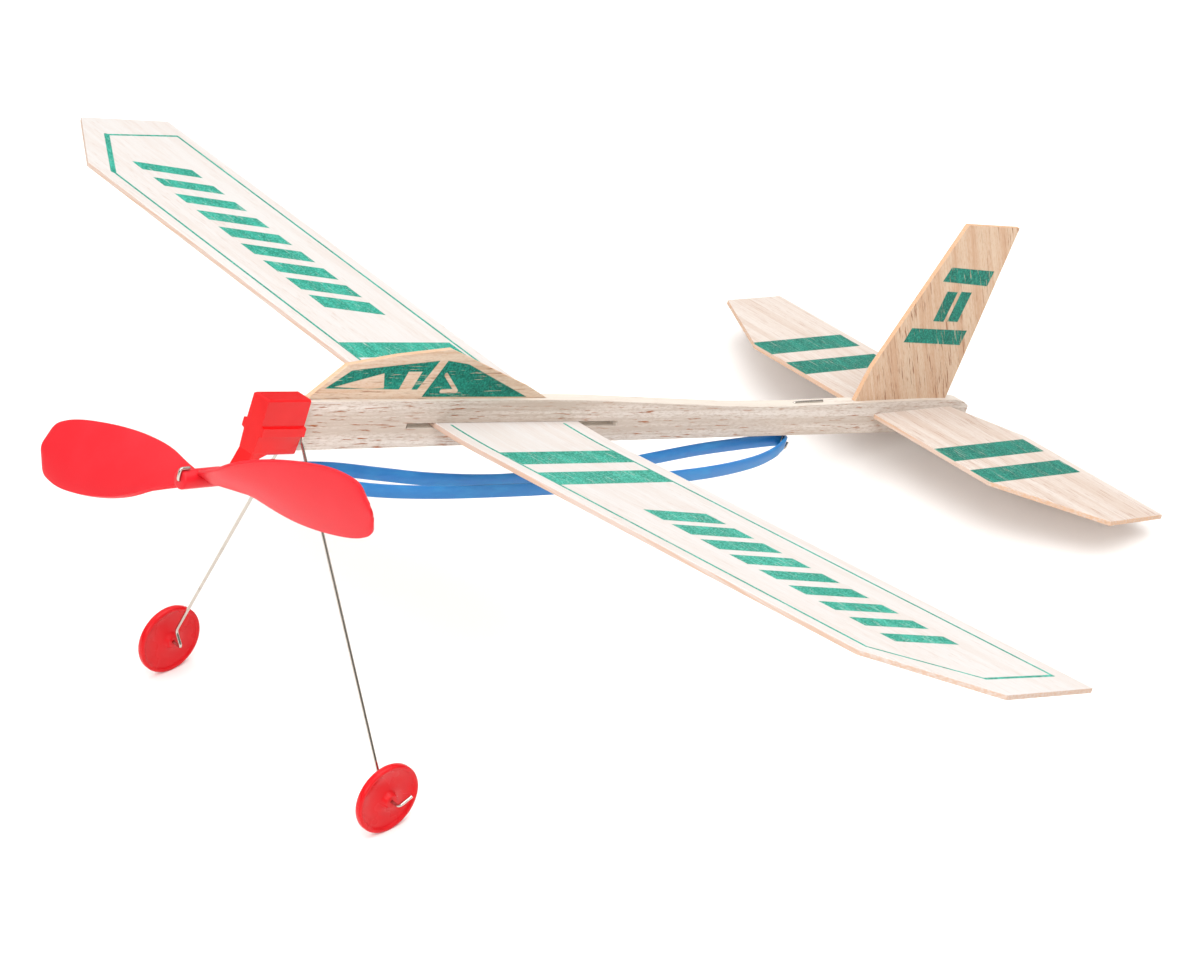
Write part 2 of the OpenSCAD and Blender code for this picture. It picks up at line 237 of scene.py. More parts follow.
# %% Node groups: line and patch
SOFT_EDGE = 0.22  # mm over which the ink fades out at its edge
line_group, g, out = new_group(
    "printed line",
    {"Place": ("Vector", None), "Start": ("Vector", None), "Reach": ("Vector", None),
     "Half Width": ("Float", 0.4)},
    {"Mask": "Float"},
)
from_start = vector_calc(line_group, "SUBTRACT", g["Place"], g["Start"])
share = calc(
    line_group, "DIVIDE",
    vector_calc(line_group, "DOT_PRODUCT", from_start, g["Reach"], output="Value"),
    vector_calc(line_group, "DOT_PRODUCT", g["Reach"], g["Reach"], output="Value"),
    clamp=True,
)
scale_it = {"operation": "SCALE"}
scaled = add(line_group, "ShaderNodeVectorMath", scale_it, Vector=g["Reach"], Scale=share).outputs[0]
nearest = vector_calc(line_group, "SUBTRACT", from_start, scaled)
off_line = vector_calc(line_group, "LENGTH", nearest, output="Value")
inside = calc(line_group, "DIVIDE", calc(line_group, "SUBTRACT", g["Half Width"], off_line), SOFT_EDGE)
line_group.links.new(calc(line_group, "ADD", inside, 0.5, clamp=True), out["Mask"])

patch_group, g, out = new_group(
    "printed patch",
    {"Place": ("Vector", None), "Middle": ("Vector", None), "Across A": ("Vector", None),
     "Across B": ("Vector", None), "Half A": ("Float", 1.0), "Half B": ("Float", 1.0)},
    {"Mask": "Float"},
)
from_middle = vector_calc(patch_group, "SUBTRACT", g["Place"], g["Middle"])
masks = []
for side in "AB":
    off = vector_calc(patch_group, "DOT_PRODUCT", from_middle, g[f"Across {side}"], output="Value")
    room = calc(patch_group, "SUBTRACT", g[f"Half {side}"], calc(patch_group, "ABSOLUTE", off))
    masks.append(calc(patch_group, "ADD", calc(patch_group, "DIVIDE", room, SOFT_EDGE), 0.5, clamp=True))
patch_group.links.new(calc(patch_group, "MULTIPLY", *masks), out["Mask"])
print("print groups:", len(line_group.nodes), "and", len(patch_group.nodes), "nodes")


# %% Place a line or a patch from its corners
def printed_line(tree, place, start, end, width):
    start, end = Vector(start), Vector(end)
    reach = end - start
    return use(tree, line_group, Place=place, Start=start, Reach=reach, Half_Width=width / 2)["Mask"]


def printed_patch(tree, place, corner, along, across):
    """A four-sided patch: its first corner, and the two sides that leave it."""
    corner, along, across = Vector(corner), Vector(along), Vector(across)
    facing = along.cross(across)
    past_along = facing.cross(along).normalized()
    past_across = across.cross(facing).normalized()
    return use(
        tree, patch_group, Place=place, Middle=corner + (along + across) / 2,
        Across_A=past_along, Across_B=past_across,
        Half_A=abs(across.dot(past_along)) / 2, Half_B=abs(along.dot(past_across)) / 2,
    )["Mask"]


def any_of(tree, masks):
    total = masks[0]
    for mask in masks[1:]:
        total = calc(tree, "MAXIMUM", total, mask)
    return total


print("line and patch helpers ready")

# %% [markdown]
# ## From a surface point to the level plane
# Object coordinates are metres in the stance. A Mapping node undoes the tip and turns them to
# millimetres. A second Mapping lays the grain's direction along X, where the balsa group expects it.


# %% Coordinates for every material
def new_material(name):
    material = bpy.data.materials.new(name)
    material.use_nodes = True
    tree = material.node_tree
    tree.nodes.clear()
    finish = add(tree, "ShaderNodeBsdfPrincipled")
    end = add(tree, "ShaderNodeOutputMaterial")
    tree.links.new(finish.outputs[0], end.inputs[0])
    return material, tree, finish.inputs


def level_place(tree):
    coordinates = add(tree, "ShaderNodeTexCoord")
    undo = Matrix.Rotation(PITCH, 3, "Y") @ Vector((CENTRE_X, 0, LIFT))
    return add(
        tree, "ShaderNodeMapping", Vector=coordinates.outputs["Object"],
        Location=-undo, Rotation=(0, PITCH, 0), Scale=(1 / MM, 1 / MM, 1 / MM),
    ).outputs[0]


def facing_parts(tree):
    coordinates = add(tree, "ShaderNodeTexCoord")
    return add(tree, "ShaderNodeSeparateXYZ", Vector=coordinates.outputs["Normal"]).outputs


def bump(tree, height, depth):
    """Turn a height mask into a normal, with its full height given in millimetres."""
    return add(tree, "ShaderNodeBump", Height=height, Distance=depth * MM, Strength=1.0).outputs[0]


print("material helpers ready")

# %% [markdown]
# ## One recipe for all the balsa pieces
# The stick, the canopy and the fin stand upright, so their broad faces look sideways. The wing and
# stabiliser lie flat. The recipe finds the cut edges from the way a face looks, and takes the print
# as a mask made by a function.

# %% Balsa material recipe
UPRIGHT, FLAT = "Y", "Z"  # the way that a sheet's broad faces look


def balsa_material(name, lies, grain_turn, tints, dashes, depth, ink=None, print_of=None, top_only=False):
    material, tree, finish = new_material(name)
    place = level_place(tree)
    facing = facing_parts(tree)
    broad_face = calc(tree, "ABSOLUTE", facing[lies])
    edge = ramp(tree, broad_face, 0.8, 0.5)
    grain = add(tree, "ShaderNodeMapping", Vector=place, Rotation=grain_turn).outputs[0]
    pale, streak, dash, cut = tints
    wood = use(
        tree, balsa_group, Place=grain, Pale=pale, Streak=streak, Dash=dash, Cut=cut,
        Dashes=dashes, Edge=edge,
    )
    surface, rough = wood["Color"], wood["Roughness"]
    if print_of:
        flat_scale = (1, 1, 0) if lies == FLAT else (1, 0, 1)
        on_sheet = vector_calc(tree, "MULTIPLY", place, flat_scale)
        shape = print_of(tree, on_sheet)
        layer = use(tree, ink_group, Place=grain, Deep=ink[0], Bright=ink[1])
        cover = calc(tree, "MULTIPLY", shape, layer["Cover"])
        looks_up = facing[lies] if top_only else broad_face
        cover = calc(tree, "MULTIPLY", cover, ramp(tree, looks_up, 0.5, 0.8))
        surface = mix(tree, cover, surface, layer["Color"])
        rough = mix_values(tree, cover, rough, layer["Roughness"])
    tree.links.new(surface, finish["Base Color"])
    tree.links.new(rough, finish["Roughness"])
    tree.links.new(bump(tree, wood["Height"], depth), finish["Normal"])
    finish["Specular IOR Level"].default_value = 0.15
    return material


print("balsa recipe ready")

# %% [markdown]
# ## The prints
# The wing has a thin outline, two stripes at each root and a row of slanted speed bars along each
# panel. The stabiliser has two stripes a side, the canopy two dark window panes, and the fin two bars
# with two slanted blocks between them. Every corner is a place on the level plane, in millimetres.


# %% Wing and stabiliser prints
def both_sides(tree, place):
    """Fold starboard onto port, so that one patch prints on both sides."""
    parts = add(tree, "ShaderNodeSeparateXYZ", Vector=place).outputs
    mirrored = calc(tree, "ABSOLUTE", parts["Y"])
    return add(tree, "ShaderNodeCombineXYZ", X=parts["X"], Y=mirrored, Z=parts["Z"]).outputs[0]


def wing_print(tree, place):
    half = both_sides(tree, place)
    port = [(-75.2, 4), (-75.2, 173), (-96.3, 198.4), (-123.8, 199.8), (-122.6, 4)]
    starboard = [(-75.4, -4), (-75.4, -167.8), (-93.9, -196.3), (-125, -197.7), (-124, -4)]
    masks = []
    for outline, widths in ((port, (1.05, 0.9, 1.3, 1.05)), (starboard, (1.05, 1.9, 1.1, 1.05))):
        for start, end, width in zip(outline, outline[1:], widths):
            masks.append(printed_line(tree, place, (*start, 0), (*end, 0), width))
    stripe_front, stripe_chord, stripe_width = -75.2, -47.4, 9.9
    for y in (24.8, 41.2):
        corner = (stripe_front, y, 0)
        masks.append(printed_patch(tree, half, corner, (stripe_chord, 0.2, 0), (0, stripe_width, 0)))
    bars, bar_front, step, slant, chord = 9, -89.5, 11.7, 5.0, -21.5
    widest, narrowing = 8.4, 0.3
    for side, first in ((1, 71.5), (-1, -176.5)):
        for k in range(bars):
            from_root = k if side > 0 else bars - 1 - k
            width = widest - narrowing * from_root
            corner = (bar_front, first + step * k, 0)
            masks.append(printed_patch(tree, place, corner, (chord, slant, 0), (0, width, 0)))
    return any_of(tree, masks)


def stabiliser_print(tree, place):
    half = both_sides(tree, place)
    front, chord, width = -264, -47, 9.6
    masks = [printed_patch(tree, half, (front, y, 0), (chord, 0.4, 0), (0, width, 0)) for y in (29.6, 45.9)]
    return any_of(tree, masks)


print("wing and stabiliser prints ready")


# %% Canopy and fin prints
def quad(tree, place, corners):
    """A four-sided outline in side view: the overlap of the half-planes inside its four sides."""
    middle = sum((Vector((x, 0, z)) for x, z in corners), Vector()) / len(corners)
    inside = None
    for (x1, z1), (x2, z2) in zip(corners, corners[1:] + corners[:1]):
        across = Vector((z2 - z1, 0, x1 - x2)).normalized()
        if across.dot(middle - Vector((x1, 0, z1))) < 0:
            across = -across
        off = vector_calc(tree, "DOT_PRODUCT", place, across, output="Value")
        past_side = calc(tree, "SUBTRACT", off, across.dot(Vector((x1, 0, z1))))
        mask = calc(tree, "ADD", calc(tree, "DIVIDE", past_side, SOFT_EDGE), 0.5, clamp=True)
        inside = mask if inside is None else calc(tree, "MULTIPLY", inside, mask)
    return inside


def canopy_print(tree, place):
    front = quad(tree, place, [(-23.4, 3.4), (-32.1, 9.1), (-65.9, 12.1), (-60, 2.9)])
    rear = quad(tree, place, [(-62.7, 0.6), (-69.2, 12.1), (-78, 11), (-106.2, 0.4)])
    panel = quad(tree, place, [(-27, 3.9), (-45, 8.1), (-46.5, 3.4), (-40, 3.2)])
    post = quad(tree, place, [(-52.5, 2.6), (-54.5, 8.6), (-60, 8.6), (-57.5, 2.6)])
    seat_line = 1.3
    seat_back = printed_line(tree, place, (-70, 0, 7.6), (-76, 0, 2.4), seat_line)
    seat_base = printed_line(tree, place, (-76, 0, 2.4), (-70, 0, 2.4), seat_line)
    windows = calc(tree, "MAXIMUM", front, rear)
    details = any_of(tree, [panel, post, seat_back, seat_base])
    return calc(tree, "SUBTRACT", windows, details, clamp=True)


def fin_print(tree, place):
    upper = quad(tree, place, [(-283.6, 45.2), (-305.8, 44.2), (-304.7, 38.9), (-281.4, 40.2)])
    lower = quad(tree, place, [(-273.8, 23.8), (-302.2, 23.1), (-301, 17.9), (-271.9, 18.8)])
    width, lean = 5.4, 2.2
    blocks = [
        quad(tree, place, [(x, 26.3), (x - width, 26.1), (x - width - lean, 36.6), (x - lean, 36.8)])
        for x in (-283.2, -290.4)
    ]
    return any_of(tree, [upper, lower, *blocks])


print("canopy and fin prints ready")

# %% [markdown]
# ## The sheets' own tints
# Each set of tints is pale wood, streaks, vessel dashes and cut edge. The two numbers are how strong
# the dashes are, and the depth of the grain in millimetres. The grain runs along the span in the wing
# and stabiliser, along the plane in the stick and canopy, and up the slope in the fin.

# %% Balsa materials
ALONG_SPAN, ALONG_PLANE, UP_THE_FIN = (0, 0, math.radians(90)), (0, 0, 0), (0, math.radians(-122), 0)
WING_INK = (colour(4, 118, 98), colour(72, 190, 168))
TAIL_INK = (colour(3, 92, 78), colour(34, 150, 130))
wing_wood = balsa_material(
    "wing balsa", FLAT, ALONG_SPAN,
    (colour(208, 204, 201), colour(204, 195, 189), colour(184, 150, 130), colour(200, 170, 150)),
    0.35, 0.12, WING_INK, wing_print, top_only=True,
)
stabiliser_wood = balsa_material(
    "stabiliser balsa", FLAT, ALONG_SPAN,
    (colour(210, 200, 192), colour(198, 180, 167), colour(160, 114, 90), colour(204, 168, 140)),
    0.6, 0.15, TAIL_INK, stabiliser_print, top_only=True,
)
fin_wood = balsa_material(
    "fin balsa", UPRIGHT, UP_THE_FIN,
    (colour(214, 190, 166), colour(200, 164, 136), colour(146, 92, 62), colour(206, 164, 130)),
    0.9, 0.15, TAIL_INK, fin_print,
)
canopy_wood = balsa_material(
    "canopy balsa", UPRIGHT, ALONG_PLANE,
    (colour(214, 194, 174), colour(200, 168, 142), colour(138, 88, 60), colour(206, 168, 136)),
    0.9, 0.15, TAIL_INK, canopy_print,
)
stick_wood = balsa_material(
    "stick balsa", UPRIGHT, ALONG_PLANE,
    (colour(218, 209, 201), colour(190, 175, 162), colour(160, 96, 56), colour(212, 202, 190)),
    1.0, 0.2,
)
print("balsa materials:", [m.name for m in bpy.data.materials if "balsa" in m.name])

# %% [markdown]
# ## Moulded plastic, wire and rubber
# Moulded parts are one colour, but never quite even: the surface has soft sink marks, hairline
# scratches, and dust in its finish. Drawn wire has faint long lines and dull spots. Rubber has a pale
# bloom and a fine pebble.

# %% Node group: moulded plastic
plastic_group, g, out = new_group(
    "moulded plastic",
    {"Place": ("Vector", None), "Base": ("Color", WHITE), "Worn": ("Color", WHITE),
     "Gloss": ("Float", 0.2), "Dull": ("Float", 0.4)},
    {"Color": "Color", "Roughness": "Float", "Height": "Float"},
)
cloud = noise(plastic_group, g["Place"], (0.06, 0.06, 0.06), 3.0)
scratch_along = ramp(plastic_group, noise(plastic_group, g["Place"], (0.08, 2.6, 2.2), 2.0), 0.68, 0.78)
scratch_across = ramp(plastic_group, noise(plastic_group, g["Place"], (2.4, 0.1, 2.4), 2.0), 0.69, 0.8)
scratches = calc(plastic_group, "MAXIMUM", scratch_along, scratch_across)
pebble = noise(plastic_group, g["Place"], (3.2, 3.2, 3.2), 2.0)
scratch_wear = calc(plastic_group, "MULTIPLY", scratches, 0.35)
dust = ramp(plastic_group, cloud, 0.45, 0.75, 0.0, 0.35)
worn = calc(plastic_group, "ADD", scratch_wear, dust, clamp=True)
sink_marks = calc(plastic_group, "MULTIPLY_ADD", pebble, 0.25, calc(plastic_group, "MULTIPLY", cloud, 1.2))
height = calc(plastic_group, "SUBTRACT", sink_marks, calc(plastic_group, "MULTIPLY", scratches, 0.3))
plastic_group.links.new(mix(plastic_group, worn, g["Base"], g["Worn"]), out["Color"])
plastic_group.links.new(mix_values(plastic_group, worn, g["Gloss"], g["Dull"]), out["Roughness"])
plastic_group.links.new(height, out["Height"])
print("plastic group:", len(plastic_group.nodes), "nodes")


# %% Plastic materials
def plastic_material(name, base, worn, gloss, dull, depth, coat=0.0):
    material, tree, finish = new_material(name)
    skin = use(tree, plastic_group, Place=level_place(tree), Base=base, Worn=worn, Gloss=gloss, Dull=dull)
    tree.links.new(skin["Color"], finish["Base Color"])
    tree.links.new(skin["Roughness"], finish["Roughness"])
    tree.links.new(bump(tree, skin["Height"], depth), finish["Normal"])
    finish["Subsurface Weight"].default_value = 0.15
    finish["Subsurface Radius"].default_value = (4 * MM, MM, MM)
    finish["Specular IOR Level"].default_value = 0.25
    finish["Coat Weight"].default_value = coat
    return material


bracket_red = plastic_material("glossy red", colour(212, 5, 8), colour(224, 20, 22), 0.14, 0.28, 0.05, 0.2)
wheel_red = plastic_material("wheel red", colour(206, 8, 18), colour(214, 26, 36), 0.26, 0.45, 0.06)
propeller_red = plastic_material("propeller red", colour(208, 27, 38), colour(216, 44, 54), 0.42, 0.55, 0.06)
print("plastics:", bracket_red.name, wheel_red.name, propeller_red.name)

# %% Wire and rubber materials
wire, tree, finish = new_material("spring wire")
place = level_place(tree)
drawn = noise(tree, place, (0.05, 4.0, 0.06), 3.0)
spots = noise(tree, place, (0.5, 0.5, 0.5), 3.0)
steel = mix(tree, ramp(tree, spots, 0.5, 0.8), colour(186, 179, 170), colour(168, 160, 150))
steel = mix(tree, ramp(tree, drawn, 0.4, 0.7, 0.0, 0.4), steel, colour(206, 200, 192))
tree.links.new(steel, finish["Base Color"])
tree.links.new(ramp(tree, spots, 0.4, 0.75, 0.1, 0.24), finish["Roughness"])
tree.links.new(bump(tree, drawn, 0.02), finish["Normal"])
finish["Metallic"].default_value = 1.0

rubber, tree, finish = new_material("blue rubber")
place = level_place(tree)
bloom = noise(tree, place, (0.08, 0.3, 0.3), 4.0)
pebble = noise(tree, place, (1.2, 3.0, 3.0), 3.0)
bloom_mask = ramp(tree, bloom, 0.42, 0.75, 0.0, 0.6)
tree.links.new(mix(tree, bloom_mask, colour(22, 116, 184), colour(58, 146, 200)), finish["Base Color"])
tree.links.new(ramp(tree, bloom, 0.4, 0.7, 0.42, 0.6), finish["Roughness"])
tree.links.new(bump(tree, pebble, 0.04), finish["Normal"])
finish["Subsurface Weight"].default_value = 0.1
finish["Subsurface Radius"].default_value = (0.5 * MM, MM, 2 * MM)
print("wire and rubber ready")

# %% [markdown]
# ## Making a piece
# A finished piece is a mesh at the origin. `new_piece` takes a bmesh drawn on the level plane in
# millimetres, tips it into the stance, and says which body it moves with, which frame pieces it
# stands for and its finish. `smooth` is the angle in degrees past which an edge stays sharp.


# %% Turn a bmesh into a piece
def new_piece(name, shape, material, body, stands_for=(), place=STANCE, smooth=None):
    mesh = bpy.data.meshes.new(name)
    shape.to_mesh(mesh)
    shape.free()
    mesh.transform(place)
    mesh.materials.append(material)
    if smooth is not None:
        mesh.shade_smooth()
        mesh.set_sharp_from_angle(angle=math.radians(smooth))
    piece = bpy.data.objects.new(name, mesh)
    bpy.context.scene.collection.objects.link(piece)
    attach(piece, body)
    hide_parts(*stands_for)
    print(f"{name}: {len(mesh.polygons)} faces, on {body}")


# %% [markdown]
# ## Sheets and stick with eased edges
# Each balsa piece already has its true outline in the frame, and so has the moulded bracket on the
# nose. Handling rounds balsa edges off a little, and a mould leaves a small radius. So a copy is
# cleaned of its triangles and its sharp edges are bevelled. A hairline bevel is enough to catch the
# light.


# %% Balsa pieces and bracket with eased edges
WELD, FLAT_ENOUGH, SHARP = 0.002 * MM, math.radians(0.6), math.radians(35)


def eased_copy(node, width):
    shape = bmesh.new()
    shape.from_mesh(nodes[node].data)
    bmesh.ops.remove_doubles(shape, verts=shape.verts, dist=WELD)
    bmesh.ops.dissolve_limit(shape, angle_limit=FLAT_ENOUGH, verts=shape.verts, edges=shape.edges)
    edges = [e for e in shape.edges if e.is_manifold and e.calc_face_angle(0) > SHARP]
    bmesh.ops.bevel(
        shape, geom=edges, offset=width * MM, offset_type="OFFSET", affect="EDGES",
        segments=2, profile=0.5, material=-1, clamp_overlap=True,
    )
    return shape


IN_PLACE = Matrix.Identity(4)
for node, body, material, slot, ease in (
    ("fuselage_stick", "fuselage", stick_wood, "stick_balsa", 0.3),
    ("canopy", "fuselage", canopy_wood, "tail_balsa", 0.2),
    ("fin", "fuselage", fin_wood, "tail_balsa", 0.2),
    ("stabiliser", "fuselage", stabiliser_wood, "tail_balsa", 0.2),
    ("wing", "wing", wing_wood, "wing_balsa", 0.2),
    ("nose_bracket", "fuselage", bracket_red, "red_plastic", 0.3),
):
    new_piece(f"{node}_eased", eased_copy(node, ease), material, body, (node,), IN_PLACE)

# %% [markdown]
# ## Propeller
# Two paddle blades twist out of a round hub. A blade starts as a flat grid. Each point is then moved
# to its place on the twisted paddle, the sheet is given a thickness, and its rim is bevelled. The
# paddle's front and back edges are two smooth lines through a few (share of the blade's length,
# distance from its middle line) knots. Its twist comes from one pitch: the distance it would screw
# itself forward in a turn. The hub is a profile spun round the shaft.

# %% Blade measures
HUB_BACK, HUB_FRONT, HUB_R, BORE_R, BLADES_AT = 5.7, 20.7, 2.8, 0.52, 14.6
BLADE_REACH, BLADE_PITCH, BLADE_ROOT = 71.5, 145.0, 2.0
BLADE_THICK, BLADE_CAMBER, RIM_BEVEL = 1.2, 0.8, 0.4
TIP_CROWDING = 0.7  # how much closer the grid's rows stand at the round tip
EVEN_TWIST_R = 15  # within this radius the twist no longer steepens
LEAD_EDGE = (
    (0, 2.6), (0.1, 4.8), (0.25, 8), (0.4, 9.2), (0.55, 9.5),
    (0.7, 9.1), (0.82, 8.1), (0.91, 6.2), (0.965, 3.8), (1, -1),
)
TRAIL_EDGE = (
    (0, 2.6), (0.1, 5.4), (0.25, 9.6), (0.4, 11.7), (0.55, 12.7),
    (0.7, 13), (0.82, 12.8), (0.91, 11.8), (0.965, 10), (1, 6),
)


def through(knots, x):
    """The height at x of a smooth line through some knots, each sloped as its neighbours lie."""
    k = max(i for i, knot in enumerate(knots[:-1]) if knot[0] <= x + 1e-9)
    (x0, y0), (x1, y1) = knots[k], knots[k + 1]
    before, after = knots[max(k - 1, 0)], knots[min(k + 2, len(knots) - 1)]
    slope0, slope1 = (y1 - before[1]) / (x1 - before[0]), (after[1] - y0) / (after[0] - x0)
    gap = x1 - x0
    t = (x - x0) / gap
    bend = y0 * (1 + 2 * t) * (1 - t) ** 2 + y1 * t * t * (3 - 2 * t)
    return bend + gap * (slope0 * t * (1 - t) ** 2 - slope1 * t * t * (1 - t))


half_way_width = through(LEAD_EDGE, 0.5) + through(TRAIL_EDGE, 0.5)
print("a blade is", round(half_way_width, 1), "mm wide half way out")


# %% Blades
def blade(turn_degrees):
    shape = bmesh.new()
    bmesh.ops.create_grid(shape, x_segments=14, y_segments=40, size=1)
    for point in shape.verts:
        along = (point.co.y + 1) / 2
        crowded = TIP_CROWDING * math.sin(math.radians(90) * along)
        share = min(1, crowded + (1 - TIP_CROWDING) * along)
        reach = BLADE_ROOT + (BLADE_REACH - BLADE_ROOT) * share
        twist = math.atan(BLADE_PITCH / (2 * math.pi * max(reach, EVEN_TWIST_R)))
        lead, trail = through(LEAD_EDGE, share), through(TRAIL_EDGE, share)
        across = point.co.x
        u = (lead - trail) / 2 + (lead + trail) / 2 * across
        camber = BLADE_CAMBER * (1 - across * across) * share
        forward = u * math.sin(twist) + camber * math.cos(twist)
        sideways = u * math.cos(twist) - camber * math.sin(twist)
        point.co = (forward, reach, sideways)
    bmesh.ops.recalc_face_normals(shape, faces=shape.faces)
    bmesh.ops.solidify(shape, geom=shape.faces, thickness=BLADE_THICK)
    rim = [e for e in shape.edges if e.calc_face_angle(0) > math.radians(50)]
    bmesh.ops.bevel(
        shape, geom=rim, offset=RIM_BEVEL, offset_type="OFFSET", affect="EDGES",
        segments=3, profile=0.5, material=-1, clamp_overlap=True,
    )
    bmesh.ops.recalc_face_normals(shape, faces=shape.faces)
    turned = Matrix.Rotation(math.radians(turn_degrees), 4, "X")
    placed = Matrix.Translation((BLADES_AT - BLADE_THICK / 2, 0, 0)) @ turned
    bmesh.ops.transform(shape, matrix=placed, verts=shape.verts)
    return shape


for label, park in (("port", 20), ("starboard", 200)):
    new_piece(f"propeller_blade_{label}", blade(park), propeller_red, "propeller",
              ("propeller",), STANCE @ SHAFT, smooth=40)


# %% Hub
def spun(profile, steps=64):
    """Spin a closed profile of (along, radius) points round the X axis."""
    shape = bmesh.new()
    ring = [shape.verts.new((along, 0, radius)) for along, radius in profile]
    edges = [shape.edges.new((a, b)) for a, b in zip(ring, ring[1:] + ring[:1])]
    bmesh.ops.spin(
        shape, geom=ring + edges, cent=(0, 0, 0), axis=(1, 0, 0), dvec=(0, 0, 0),
        angle=2 * math.pi, steps=steps, use_merge=True, use_duplicate=False,
    )
    bmesh.ops.remove_doubles(shape, verts=shape.verts, dist=0.0005)
    bmesh.ops.recalc_face_normals(shape, faces=shape.faces)
    return shape


hub_profile = [
    (HUB_BACK, BORE_R), (HUB_BACK, HUB_R - 0.5), (HUB_BACK + 0.2, HUB_R - 0.15), (HUB_BACK + 0.6, HUB_R),
    (HUB_FRONT - 0.6, HUB_R), (HUB_FRONT - 0.2, HUB_R - 0.15), (HUB_FRONT, HUB_R - 0.5), (HUB_FRONT, BORE_R),
]
new_piece("propeller_hub", spun(hub_profile), propeller_red, "propeller",
          (), STANCE @ SHAFT, smooth=40)

# %% [markdown]
# ## Wheels
# A wheel is a thin dished disc with a lip at its rim and a short hub. Its profile is spun round the
# axle. Small steps in the profile round each corner, as a mould does. The profile starts in the bore
# on the inner side, goes out over the inner face and the rim, and comes back over the outer face.

# %% Wheels
AXLE = Vector((-43.5, 52, -102.7))
wheel_profile = [
    (-2.2, 0.56), (-2.2, 1.7), (-2.0, 2.0), (-1.1, 2.4), (-0.8, 2.9), (-0.7, 6.0), (-0.6, 9.2),
    (-0.75, 9.5), (-1.0, 9.75), (-1.1, 10.0), (-1.1, 10.5), (-0.95, 10.8), (-0.6, 11.0),
    (0.7, 11.0), (1.1, 10.8), (1.25, 10.5), (1.25, 10.0), (1.1, 9.7), (0.75, 9.45), (0.5, 9.1),
    (0.45, 6.0), (0.7, 2.9), (1.0, 2.5), (2.1, 2.1), (2.4, 1.8), (2.4, 0.56),
]
for label, side in (("left", 1), ("right", -1)):
    outward = Matrix.Rotation(side * math.radians(90), 4, "Z")
    to_axle = Matrix.Translation((AXLE.x, side * AXLE.y, AXLE.z)) @ outward
    new_piece(f"wheel_{label}_disc", spun(wheel_profile, 96), wheel_red, f"wheel_{label}",
              (f"wheel_{label}",), STANCE @ to_axle, smooth=38)

# %% [markdown]
# ## Wire parts
# A bent wire is a curve with a round bevel, turned into a mesh. Each corner of its route is cut off
# and filled with a few points on an arc, because a wire bends round a pin and never kinks. The gear
# is one wire: down one leg, through its wheel and the same on the other side. The shaft has an open
# ring at its back for the band, and its front end is turned over the hub.


# %% Curves that follow a route
def rounded_route(corners, cut, steps=5):
    corners = [Vector(c) for c in corners]
    route = [corners[0]]
    for before, corner, after in zip(corners, corners[1:], corners[2:]):
        first = corner + (before - corner).normalized() * cut
        last = corner + (after - corner).normalized() * cut
        for k in range(steps + 1):
            t = k / steps
            route.append((1 - t) ** 2 * first + 2 * t * (1 - t) * corner + t * t * last)
    return route + [corners[-1]]


def swept(route, radius=0, closed=False, profile=None):
    """A mesh swept along a route: round with a radius, or with the outline of a profile curve."""
    line = bpy.data.curves.new("route", "CURVE")
    line.dimensions = "3D"
    line.twist_mode = "MINIMUM" if profile is None else "Z_UP"
    spline = line.splines.new("POLY")
    spline.points.add(len(route) - 1)
    for point, co in zip(spline.points, route):
        point.co = (*co, 1)
    spline.use_cyclic_u = closed
    if profile is None:
        line.bevel_depth = radius
        line.bevel_resolution = 4
        line.use_fill_caps = not closed
    else:
        line.bevel_mode = "OBJECT"
        line.bevel_object = profile
    holder = bpy.data.objects.new("route", line)
    bpy.context.scene.collection.objects.link(holder)
    bpy.context.view_layer.update()
    mesh = bpy.data.meshes.new_from_object(holder.evaluated_get(bpy.context.evaluated_depsgraph_get()))
    shape = bmesh.new()
    shape.from_mesh(mesh)
    bpy.data.objects.remove(holder)
    bpy.data.curves.remove(line)
    bpy.data.meshes.remove(mesh)
    bmesh.ops.remove_doubles(shape, verts=shape.verts, dist=0.001)
    bmesh.ops.recalc_face_normals(shape, faces=shape.faces)
    return shape


# %% Gear wire, rear hook and propeller shaft
WIRE_R, HOOK_R, HOOK_X = 0.5, 0.45, -229.0  # gear and shaft are one gauge, the hook is thinner
port_leg = [
    (-2.8, 3.05, -8.7), (-17.9, 3.05, -8.7), (-18.3, 3.3, -12.6), (-42, 48.6, -98.2),
    (AXLE.x, 46, AXLE.z), (AXLE.x, 57.5, AXLE.z), (AXLE.x - 2.3, 59, AXLE.z + 4),
]
gear_route = [(x, -y, z) for x, y, z in reversed(port_leg)] + port_leg
new_piece("gear_wire", swept(rounded_route(gear_route, 1.2), WIRE_R), wire, "fuselage",
          ("landing_gear_wire",), smooth=50)

HOOK_TOP, HOOK_FOOT = -2.6, -18.6
hook_route = [
    (HOOK_X - 13.5, 0, HOOK_TOP + 0.5), (HOOK_X, 0, HOOK_TOP), (HOOK_X, 0, HOOK_FOOT),
    (HOOK_X - 2.9, 0, HOOK_FOOT), (HOOK_X - 3.3, 0, HOOK_FOOT + 2.2),
]
new_piece("hook_wire", swept(rounded_route(hook_route, 0.9), HOOK_R), wire, "fuselage",
          ("rear_hook",), smooth=50)

RING_X, RING_R = -12.3, 3.4
over, lap = HUB_FRONT + WIRE_R + 0.05, HUB_R + WIRE_R + 0.15
ring_turns = [math.radians(8 * k) for k in range(44, 1, -1)]
ring = [(RING_X + RING_R * math.cos(a), 0, RING_R * math.sin(a)) for a in ring_turns]
stem = [(RING_X + RING_R + 0.4, 0, 0), (over, 0, 0), (over, 0, lap), (over - 3.2, 0, lap)]
shaft_route = ring + rounded_route(stem, 0.7)
new_piece("shaft_wire", swept(shaft_route, WIRE_R), wire, "propeller",
          ("propeller_shaft",), STANCE @ SHAFT, smooth=50)

